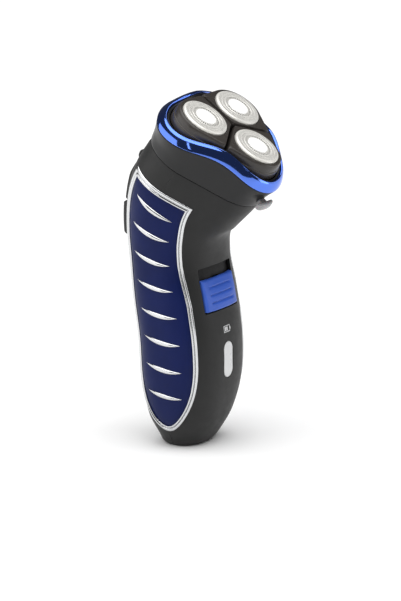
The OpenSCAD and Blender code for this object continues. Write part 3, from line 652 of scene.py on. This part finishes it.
# Section of the chrome frame: share of its width, and inset from the grip's surface
TRIM_BEADS = [(0.0, 0.9), (0.0, 0.1), (0.02, -0.28), (0.09, -0.5), (0.2, -0.6), (0.34, -0.58),
              (0.45, -0.42), (0.5, -0.16), (0.56, 0.0), (0.62, -0.02), (0.67, -0.2), (0.74, -0.38),
              (0.84, -0.43), (0.93, -0.34), (0.985, -0.1), (1.0, 0.2), (1.0, 0.95)]


def build_trim(side):
    """Chrome frame with a bright outer bead, a groove and an inner bead."""
    loops = None
    for share, inset in TRIM_BEADS:
        edge = panel_edge(TRIM_WIDTH * share, EDGE_ROWS)
        front = [grip_point(s, side_phi(side, a) % 360, inset) for s, a in edge]
        top_s, top_a = edge[-1]
        over = [grip_point(top_s, side_phi(side, a) % 360, inset)
                for a in spread(top_a, -top_a, 40)[1:-1]]
        back = [grip_point(s, side_phi(side, -a) % 360, inset) for s, a in reversed(edge)][:-1]
        line = front + over + back
        loops = loops or [[] for _ in line]
        for k, p in enumerate(line):
            loops[k].append(p)
    add_piece(f"side_trim_{side}_chrome", skin(loops, ring=True), FINISH["chrome_trim"], "body",
              [f"side_trim_{side}"], crease=50)


def build_panel(side):
    """Satin panel that swells gently from its chrome frame."""
    edge = panel_edge(TRIM_WIDTH - 0.06, EDGE_ROWS)
    columns = spread(1, -1, 48)
    top, bottom = [], []
    for s, a in edge:
        a = max(a, 0.05)
        end = min(1.0, (s - edge[0][0]) / 3, (edge[-1][0] - s) / 3)
        row, low = [], []
        for c in columns:
            crown = min(1.0, (1 - abs(c)) * a / 5) * max(0.0, end)
            inset = 0.1 + 0.35 * (1 - smooth_step(0, 1, crown))
            row.append(grip_point(s, side_phi(side, a * c) % 360, inset))
            low.append(grip_point(s, side_phi(side, a * c) % 360, PANEL_RECESS - 0.02))
        top.append(row)
        bottom.append(low)
    add_piece(f"side_panel_{side}_navy", slab(top, bottom), FINISH["panel_blue"], "body",
              [f"side_panel_{side}"])


RIB_HALF, RIB_RISE, RIB_START, RIB_PITCH = 1.2, 0.8, 29.4, 12.45
RIB_BACK_ANGLE, RIB_SPAN, RIB_SINK = -20.5, 42.5, 0.22
# How far the back and front end of each rib stand above the even spacing, from the lowest rib up
RIB_LIFTS = [(0.6, 0.3), (0.7, 0.6), (0.6, 0.7), (0.5, 0.4), (1.0, 0.0), (1.3, 0.0), (0.9, -0.4),
             (-0.6, -0.1)]


def build_ribs(side):
    """Eight raised chrome crescents, pointed at both ends."""
    shape = ([], [])
    stations = 56
    for i, (lift_back, lift_front) in enumerate(RIB_LIFTS):
        mid = RIB_START + RIB_PITCH * i - (0.6 if i > 6 else 0) + (lift_back + lift_front) / 2
        back, front = mid + 1.6 + 0.12 * i + lift_back / 2, mid - 0.75 + lift_front / 2
        loops = []
        for k in range(stations + 1):
            t = k / stations
            s = (1 - t) * (1 - 2 * t) * back + 4 * t * (1 - t) * mid + t * (2 * t - 1) * front
            half = max(0.08, RIB_HALF * sin(180 * t) ** 0.8)
            rise = min(RIB_RISE, 0.7 * half)
            off = RIB_BACK_ANGLE + RIB_SPAN * t
            loop = []
            for j in range(13):
                a = 180 * j / 12
                loop.append(grip_point(s + half * cos(a), side_phi(side, off) % 360,
                                       RIB_SINK - (rise + RIB_SINK) * sin(a) ** 0.9))
            loop.append(grip_point(s, side_phi(side, off) % 360, 0.5))
            loops.append(loop)
        shape = join(shape, *skin(loops))
    add_piece(f"grip_ribs_{side}_chrome", shape, FINISH["chrome_trim"], "body",
              [f"grip_ribs_{side}"], crease=60)


def surface_finder():
    """Function that gives y of the grip's surface at (x, z), on the front or the back."""
    verts, faces = full_grip(0, 0, 240, 0.5, 220)
    tree = BVHTree.FromPolygons(verts, faces)

    def find(x, z, side):
        hit = tree.ray_cast(Vector((x, 90 * side, z)), Vector((0, -side, 0)))[0]
        return hit.y if hit else 0.0
    return find


surface_y = surface_finder()


def pad_rise(x, z, half_w, low, high, radius):
    """0 on the outline of a pad, 1 in its middle, rounded over radius."""
    d = min(half_w - abs(x), z - low, high - z)
    return math.sqrt(max(0.0, 1 - (1 - min(1.0, max(0.0, d / radius))) ** 2))


def pad_rows(low, high, radius, count):
    """Levels that crowd towards both ends, so that rounded edges stay smooth."""
    ease = [radius * (1 - cos(90 * k / 6)) for k in range(6)]
    return [low + e for e in ease] + spread(low + radius, high - radius, count) + \
        [high - e for e in reversed(ease)]


def thumb_groove(x, z, levels, width, inner, outer):
    """1 in the grooves at these levels, 0 beside them and past their ends, between inner and outer."""
    deep = max((math.exp(-((z - level) / width) ** 2) for level in levels), default=0.0)
    return deep * (1 - smooth_step(inner, outer, abs(x)))


def build_switch():
    """Blue thumb slide with three grooves and a dished upper end, and its stem."""
    top, bottom = [], []
    half_w, half_h, proud, ease, thick = 12.2, 7.1, 0.8, 0.9, 1.25
    for z in pad_rows(-half_h, half_h, ease, 60):
        row, low = [], []
        for x in pad_rows(-half_w, half_w, ease, 72):
            place = switch_point(x, 0, z)
            y = surface_y(x, place.z, -1)
            rise = proud * pad_rise(x, z, half_w, -half_h, half_h, ease)
            dish = (1 - (x / half_w) ** 2) * smooth_step(-3.0, half_h, z)
            groove = thumb_groove(x, z, (-3.4, 0.0, 3.4), 0.42, 7.6, 9.0)
            row.append(Vector((x, y - rise + dish + 0.6 * groove, place.z)))
            low.append(Vector((x, y + thick, place.z)))
        top.append(row)
        bottom.append(low)
    verts, faces = box_mesh((-2, 1.2, -2), (2, 4.6, 2))
    shape = join(slab(top, bottom), [switch_point(*p) for p in verts], faces)
    add_piece("power_switch_slide", shape, FINISH["switch_blue"], "switch",
              ["power_switch"], crease=40)


def build_lens():
    """Domed pill-shaped window over the charge light."""
    rings = [LENS_R * k for k in (0.04, 0.25, 0.5, 0.7, 0.84, 0.93, 0.98, 1.0)]
    insets = [-0.1, -0.1, -0.09, -0.07, -0.03, 0.04, 0.14, 0.3]
    loops = []
    for r, inset in zip(rings, insets):
        loops.append([Vector((x, surface_y(x, LENS_Z + z, -1) + inset, LENS_Z + z))
                      for x, z in pill(r)])
    loops.append([Vector((p.x, p.y + 2.1, p.z)) for p in loops[-1]])
    add_piece("charge_lens_window", skin(loops), FINISH["lens_clear"], "body",
              ["charge_lens"])


def build_charge_mark():
    """Small generic battery symbol, printed above the window."""
    bars = [(-2.6, 2.2, -1.5, -1.2), (-2.6, 2.2, 1.2, 1.5), (-2.6, -2.3, -1.5, 1.5),
            (1.9, 2.2, -1.5, 1.5), (2.2, 2.7, -0.6, 0.6), (-1.9, -0.9, -0.85, 0.85),
            (-0.6, 0.4, -0.85, 0.85)]
    shape = ([], [])
    for x0, x1, z0, z1 in bars:
        top, under = [], []
        for z in spread(z0, z1, 3):
            row = [Vector((x, surface_y(x, MARK_Z + z, -1), MARK_Z + z)) for x in spread(x0, x1, 6)]
            top.append([p - Vector((0, 0.04, 0)) for p in row])
            under.append([p + Vector((0, 0.03, 0)) for p in row])
        shape = join(shape, *slab(top, under))
    add_piece("charge_mark_print", shape, FINISH["lens_clear"], "body")


# Heights between which a pad on the back thins to a fifth, to clear the window's top when it opens
THIN_FROM, THIN_TO = 122, 131


def back_pad(low, high, proud, depth, radius, grooves=()):
    """Block on the back of the grip between two heights, with rounded edges and thumb grooves."""
    top, bottom = [], []
    for z in pad_rows(low, high, radius, 44):
        row, under = [], []
        thin = 1 - 0.8 * smooth_step(THIN_FROM, THIN_TO, z)
        for x in pad_rows(-TRIM_HALF_W, TRIM_HALF_W, radius, 60):
            y = surface_y(x, z, 1)
            rise = proud * pad_rise(x, z, TRIM_HALF_W, low, high, radius) * thin
            cut = thumb_groove(x, z, grooves, 0.45, 8, 9.2)
            row.append(Vector((x, y + rise - 0.8 * cut, z)))
            under.append(Vector((x, y - depth, z)))
        top.append(row)
        bottom.append(under)
    return slab(top, bottom)


def build_trimmer():
    """Catch that slides down, and the flap with its hinge barrel."""
    add_piece("trimmer_slider_catch", back_pad(95, 110.4, 3.1, 1.2, 1.5, (98.4, 101, 103.6)),
              FINISH["housing_plastic"], "trimmer_slider", ["trimmer_slider"])
    barrel = []
    for x, r in ((-TRIM_HALF_W, 2.6), (-13.7, 3.0), (-13.3, 3.2), (13.3, 3.2), (13.7, 3.0),
                 (TRIM_HALF_W, 2.6)):
        barrel.append([Vector((x, TRIM_HINGE_Y + r * cos(7.5 * k), TRIM_HINGE_Z + r * sin(7.5 * k)))
                       for k in range(48)])
    shape = join(back_pad(111, 130.6, 2.1, 1.5, 1.1), *skin(barrel))
    add_piece("trimmer_arm_flap", shape, FINISH["housing_plastic"], "trimmer_arm",
              ["trimmer_arm"])


# ---------- Head pieces ----------

HEAD_STEPS = 240
# Lobe circle, corner radius and depth below the head's top of the ring's two edges
RING_TOP, RING_BOTTOM = (15.5, 15.6, 4.65), (13.0, 20.0, 9.45)
RING_WALL, RING_WAVE = 1.3, 2.75
PIVOT_DEPTH, PIVOT_R = -9.8, 0.8


def wave(phi):
    """How far the ring dips or rises along the head's axis at this angle."""
    return RING_WAVE * cos(3 * (phi + 90))


def band(profile):
    """Closed ring whose section at each angle is a list of (radius, height) pairs."""
    phis = [360 * i / HEAD_STEPS for i in range(HEAD_STEPS)]
    return skin([[head_polar(phi, r, w) for r, w in profile(phi)] for phi in phis], ring=True)


def housing_profile(phi):
    """Section of the head's housing at this angle, from the seam up its outside and down its bore."""
    low = triangle_r(phi, NECK_LOBE_R, 17.2)
    mid = triangle_r(phi, 12.7, 18.2)
    ledge_w = -RING_BOTTOM[2] - wave(phi)
    ledge_r = triangle_r(phi, *RING_BOTTOM[:2])
    top_r = triangle_r(phi, *RING_TOP[:2])
    top_w = -RING_TOP[2] - wave(phi) - 0.6
    bore_r = triangle_r(phi, PITCH_R, 13.9)
    outer = curve_through([(low, -22.5), (mid - 0.12, -17.5), (ledge_r - 0.3, ledge_w - 0.55)], 9)
    return ([(low - 0.35, -22.85), (low - 0.1, -22.75)] + outer +
            [(ledge_r - 0.42, ledge_w - 0.28), (ledge_r - 0.7, ledge_w - 0.2),
             (ledge_r - 1.9, ledge_w - 0.2), (top_r - RING_WALL - 0.05, top_w),
             (min(bore_r, top_r - RING_WALL - 0.9), top_w),
             (min(bore_r, ledge_r - 3.2), -12.5 + min(0, ledge_w + 11.5)),
             (low - WALL, -19), (low - WALL, -22.85)])


def build_head_housing():
    """Head's housing, cut for the hinge and the button's stem, and the hinge's knuckle."""
    obj = mesh_object("head_housing_shell", *band(housing_profile))
    settle(obj)
    relief = prism(cylinder_points(head_point(-19, HINGE_V, HINGE_W), (1, 0, 0), 2.7), (1, 0, 0), 38)
    stem = [head_point(x, -40, w)
            for x, w in ((-2.3, -20.7), (2.3, -20.7), (2.3, -18.1), (-2.3, -18.1))]
    carve(obj, [relief, prism(stem, HEAD_V, 16)])
    knuckle = []
    for x in (-4.7, 4.7):
        loop = [(HINGE_V + 2 * cos(a), HINGE_W + 2 * sin(a)) for a in spread(180, 360, 24)]
        loop += [(22.5, HINGE_W), (22.5, -17.2), (20.2, -17.2), (20.1, -20)]
        knuckle.append([head_point(x, v, w) for v, w in loop])
    hinge = mesh_object("head_hinge_knuckle", *skin(knuckle))
    pin = prism(cylinder_points(head_point(-6, HINGE_V, HINGE_W), (1, 0, 0), 1.05), (1, 0, 0), 12)
    settle(hinge)
    carve(hinge, [pin])
    finish_piece(hinge, FINISH["gloss_black"], "head")
    finish_piece(obj, FINISH["gloss_black"], "head", ["head_housing"], crease=34)


def ring_profile(phi):
    """Section of the chrome ring at this angle, with a softly crowned face and a rolled lip."""
    top_r, low_r = triangle_r(phi, *RING_TOP[:2]), triangle_r(phi, *RING_BOTTOM[:2])
    top_w, low_w = -RING_TOP[2] - wave(phi), -RING_BOTTOM[2] - wave(phi)

    def between(t, out):
        return (low_r + (top_r - low_r) * t + out, low_w + (top_w - low_w) * t)
    face = [between(t, 0.35 * (1 - (2 * t - 1) ** 2))
            for t in (0.1, 0.24, 0.38, 0.5, 0.62, 0.76, 0.88)]
    return ([(low_r - 0.35, low_w), (low_r - 0.08, low_w + 0.1)] + face +
            [(top_r - 0.02, top_w - 0.28), (top_r - 0.12, top_w - 0.08), (top_r - 0.35, top_w),
             (top_r - 0.62, top_w - 0.06), (top_r - RING_WALL + 0.1, top_w - 0.6),
             (top_r - RING_WALL, top_w - 1.2), (low_r - 1.9, low_w)])


def build_ring():
    """Blue chrome band round the head."""
    add_piece("head_ring_band", band(ring_profile), FINISH["ring_blue"], "head",
              ["head_ring"], crease=40)


CORNER_POWER, FAR_AWAY = 34, 1e3


def pod_r(theta, c, gap):
    """Radius of one pod's outline around its cutter, at corner radius c and half gap to the others."""
    off = abs((theta + 180) % 360 - 180)
    if off <= 60:
        return c
    side = PITCH_R * sin(60) - gap
    outer = c / max(0.05, cos(off - 60))
    near = side / max(0.02, sin(off - 60))
    far = side / sin(-off - 60) if sin(-off - 60) > 0.02 else FAR_AWAY
    return sum(r ** -CORNER_POWER for r in (outer, near, far)) ** (-1 / CORNER_POWER)


# Section of a pod as (radius, height) pairs: outside, where it squares off, and round its opening
POD_OUTSIDE = [(13.4, -8.0), (13.4, -5.0), (13.36, -4.76), (13.22, -4.62), (13.06, -4.54),
               (13.0, -4.3), (12.99, -3.6), (12.94, -2.8), (12.84, -2.2), (12.66, -1.65),
               (12.42, -1.22), (12.15, -0.96), (11.9, -0.85), (11.62, -0.82)]
POD_OPENING = [(11.46, -0.8), (11.3, -0.83), (11.17, -0.95), (11.1, -1.2), (11.06, -4.0),
               (11.3, -4.0), (11.3, -6.4), (10.2, -6.4), (10.2, -8.0)]


def build_pod(name, angle):
    """Pod: satin top, rounded shoulder, a fine step, open in the middle, and its two pivots."""
    steps = 240
    loops = []
    for i in range(steps):
        theta = 360 * i / steps
        section_here = [(pod_r(theta, c, 0.65 + 0.3 * smooth_step(-2.0, -0.85, w)), w)
                        for c, w in POD_OUTSIDE] + POD_OPENING
        loops.append([lobe_point(angle, r * cos(theta), r * sin(theta), w) for r, w in section_here])
    shape = skin(loops, ring=True)
    for side in (-1, 1):
        verts, faces = box_mesh((-1.5, side * 11.4 - 0.6, -10.8), (1.5, side * 11.4 + 0.6, -7.8))
        shape = join(shape, [lobe_point(angle, *p) for p in verts], faces)
        pin = [[lobe_point(angle, PIVOT_R * cos(15 * k), side * y, PIVOT_DEPTH + PIVOT_R * sin(15 * k))
                for k in range(24)] for y in (11.6, 13.1, 13.2)]
        shape = join(shape, *skin(pin))
    add_piece(f"pod_{name}_body", shape, FINISH["pod_black"], f"pod_{name}",
              [f"pod_{name}"], crease=38)


# Sections of the guard's outside and inside as (radius, height) pairs, one point above another
GUARD_TOP = [(4.82, -0.34), (4.9, -0.12), (5.05, -0.02), (5.2, 0.0), (6.4, 0.0), (6.52, -0.1),
             (6.66, -0.14), (6.8, -0.03), (6.95, 0.0), (8.1, 0.0), (8.22, -0.12), (8.34, -0.12),
             (8.46, 0.0), (9.7, 0.0), (9.9, -0.03), (10.12, -0.11), (10.38, -0.26), (10.6, -0.47),
             (10.73, -0.7), (10.8, -0.98), (10.8, -4.25), (11.15, -4.3), (11.15, -5.0)]
GUARD_UNDER = [(4.82, -0.5), (4.9, -0.3), (5.05, -0.2), (5.2, -0.15), (6.4, -0.15), (6.52, -0.4),
               (6.66, -0.55), (6.8, -0.55), (6.95, -0.55), (8.1, -0.55), (8.22, -0.55), (8.34, -0.55),
               (8.46, -0.55), (9.6, -0.58), (9.72, -0.6), (9.85, -0.66), (9.95, -0.8), (10.02, -1.0),
               (10.06, -1.3), (10.1, -1.6), (10.1, -4.3), (10.3, -4.6), (10.3, -5.0)]


def build_guard(name, angle):
    """Pierced foil cup: a short ring of wide slots, two fields of fine slots, and turned rings."""
    parts, wide_step, wide_open, fine_step = 360, 9, 4, 4
    rings = len(GUARD_TOP)
    verts = [lobe_point(angle, r * cos(i), r * sin(i), w)
             for outline in (GUARD_TOP, GUARD_UNDER) for r, w in outline for i in range(parts)]
    faces, used = [], {}  # used keeps its order, so the result is the same on each run
    for k in range(rings - 1):
        r = (GUARD_TOP[k][0] + GUARD_TOP[k + 1][0]) / 2
        for i in range(parts):
            wide = 5.15 < r < 6.45 and i % wide_step < wide_open
            fine = (6.9 < r < 8.15 or 8.4 < r < 9.75) and i % fine_step == 0
            if wide or fine:
                continue
            j = (i + 1) % parts
            quad = (k * parts + i, (k + 1) * parts + i, (k + 1) * parts + j, k * parts + j)
            faces.append(quad)
            faces.append(tuple(q + rings * parts for q in reversed(quad)))
            for q in range(4):
                used[(quad[q], quad[(q + 1) % 4])] = True
    for a, b in used:
        if (b, a) not in used:
            faces.append((b, a, a + rings * parts, b + rings * parts))
    add_piece(f"guard_{name}_foil", (verts, faces), FINISH["guard_steel"], f"pod_{name}",
              [f"guard_{name}"], crease=40)
    # Dark ring just under the wide slots: painted shade, so that the slots look dark
    slot_shade_ring = [(5.2, -0.17), (6.38, -0.17), (6.38, -0.4), (5.2, -0.4)]
    loops = [[lobe_point(angle, r * cos(4 * i), r * sin(4 * i), w) for r, w in slot_shade_ring]
             for i in range(90)]
    add_piece(f"guard_{name}_liner", skin(loops, ring=True), FINISH["dark_plastic"], f"pod_{name}")


# Section of the cap in a guard's middle, from below, as (radius, height) pairs
CAP_SECTION = [(1.0, -2.8), (1.0, -0.62), (4.6, -0.6), (4.78, -0.45), (4.8, -0.2), (4.8, 0.0),
               (4.74, 0.12), (4.6, 0.2), (4.3, 0.235), (3.5, 0.265), (2.2, 0.29), (0.6, 0.3),
               (0.05, 0.3)]


def build_cap(name, angle):
    """Turned, slightly domed cap in the middle of a guard."""
    steps = 96
    loops = [[lobe_point(angle, r * cos(360 * i / steps), r * sin(360 * i / steps), w)
              for i in range(steps)] for r, w in CAP_SECTION]
    add_piece(f"guard_cap_{name}_disc", skin(loops), FINISH["cap_steel"], f"pod_{name}",
              [f"guard_cap_{name}"])


BUTTON_HALF, BUTTON_BACK, BUTTON_DEPTH, BUTTON_W = 5.9, -32.1, 2.6, -19.5
BUTTON_TIP, BUTTON_TALL = 0.35, 1.8


def build_button():
    """D-shaped thumb tab with soft edges, and its stem through the wall."""
    loops = []
    for a in spread(3, 177, 44):
        u = -BUTTON_HALF * cos(a)
        bow = sin(a) ** 0.8
        half_v = (BUTTON_TIP + (BUTTON_DEPTH - BUTTON_TIP) * bow) / 2
        half_w = BUTTON_TALL * (0.35 + 0.65 * min(1.0, bow * 1.25))
        loop = []
        for k in range(36):
            ca, sa = cos(10 * k), sin(10 * k)
            m = (abs(ca) ** 3 + abs(sa) ** 3) ** (-1 / 3)
            loop.append(head_point(u, BUTTON_BACK - half_v + half_v * m * ca,
                                   BUTTON_W + half_w * m * sa))
        loops.append(loop)
    verts, faces = box_mesh((-2, -33, -20.4), (2, -26.4, -18.4))
    shape = join(skin(loops), [head_point(*p) for p in verts], faces)
    add_piece("release_button_tab", shape, FINISH["button_grey"], "button",
              ["release_button"], crease=50)


# ---------- Floor, light and camera ----------

FLOOR_HALF, FLOOR_Z = 9000, -0.05
WORLD_STRENGTH, SUN_STRENGTH, SUN_WIDTH = 0.08, 3.45, 80
LIGHT_AIM = (0, -8, 85)
# Soft lights: name, place, width and height, and watts
SOFT_LIGHTS = [
    ("left_box", (-497, 489, 334), (1000, 500), 2.4),
    ("front_box", (420, -760, 300), (300, 480), 1.1),
    ("camera_strip", (-760, -330, 520), (60, 300), 0.14),
]


def build_stage():
    """Plain pale floor."""
    n = Nodes("pale_floor")
    cloud = n.noise(3.0, 3.0)
    n.set(n.shader, "Base Color",
          n.mix(n.span(cloud, 0, 1), (0.93, 0.93, 0.93, 1), (0.95, 0.95, 0.95, 1)))
    n.shader.inputs["Roughness"].default_value = 0.75
    n.shader.inputs["Specular IOR Level"].default_value = 0.1
    corners = [(x * FLOOR_HALF, y * FLOOR_HALF, FLOOR_Z)
               for x, y in ((-1, -1), (1, -1), (1, 1), (-1, 1))]
    floor = mesh_object("floor", corners, [(0, 1, 2, 3)])
    floor.data.materials.append(n.material)


def area_light(name, place, size, power):
    data = bpy.data.lights.new(name, "AREA")
    data.shape = "RECTANGLE"
    data.size, data.size_y = size[0] * MM, size[1] * MM
    data.energy = power
    obj = bpy.data.objects.new(name, data)
    bpy.context.scene.collection.objects.link(obj)
    obj.location = Vector(place) * MM
    obj.rotation_euler = (Vector(LIGHT_AIM) - Vector(place)).to_track_quat("-Z", "Y").to_euler()


def build_lights():
    """Dim white world, wide soft light from above, and three soft boxes."""
    world = bpy.data.worlds.new("studio")
    bpy.context.scene.world = world
    world.use_nodes = True
    background = world.node_tree.nodes["Background"]
    background.inputs["Color"].default_value = (1, 1, 1, 1)
    background.inputs["Strength"].default_value = WORLD_STRENGTH
    sun = bpy.data.lights.new("overhead", "SUN")
    sun.energy, sun.angle = SUN_STRENGTH, math.radians(SUN_WIDTH)
    overhead = bpy.data.objects.new("overhead", sun)
    bpy.context.scene.collection.objects.link(overhead)
    overhead.rotation_euler = Vector((0.15, 0.12, -1)).to_track_quat("-Z", "Y").to_euler()
    for light in SOFT_LIGHTS:
        area_light(*light)


AZIMUTH, ELEVATION, DISTANCE = -57.0, 15.0, 1400.0
FOCAL_LENGTH, SENSOR_WIDTH = 187.85, 36.0
AIM = Vector((-1.09, -8.22, 65.98))


def build_camera():
    """Camera at the photograph's angle, looking at AIM."""
    level = cos(ELEVATION)
    back = Vector((sin(AZIMUTH) * level, -cos(AZIMUTH) * level, sin(ELEVATION)))
    data = bpy.data.cameras.new("camera")
    data.lens, data.sensor_width = FOCAL_LENGTH, SENSOR_WIDTH
    data.clip_start, data.clip_end = 0.05, 60.0
    obj = bpy.data.objects.new("camera", data)
    bpy.context.scene.collection.objects.link(obj)
    obj.location = (AIM + back * DISTANCE) * MM
    obj.rotation_mode = "QUATERNION"
    obj.rotation_quaternion = (-back).to_track_quat("-Z", "Y")
    bpy.context.scene.camera = obj
    bpy.context.scene.view_settings.view_transform = "Standard"


# ---------- Everything ----------

finish_cad_nodes()
build_housings()
for side in ("left", "right"):
    build_trim(side)
    build_panel(side)
    build_ribs(side)
build_switch()
build_lens()
build_charge_mark()
build_trimmer()
build_head_housing()
build_ring()
for lobe, lobe_angle in LOBES.items():
    build_pod(lobe, lobe_angle)
    build_guard(lobe, lobe_angle)
    build_cap(lobe, lobe_angle)
build_button()
build_stage()
build_lights()
build_camera()
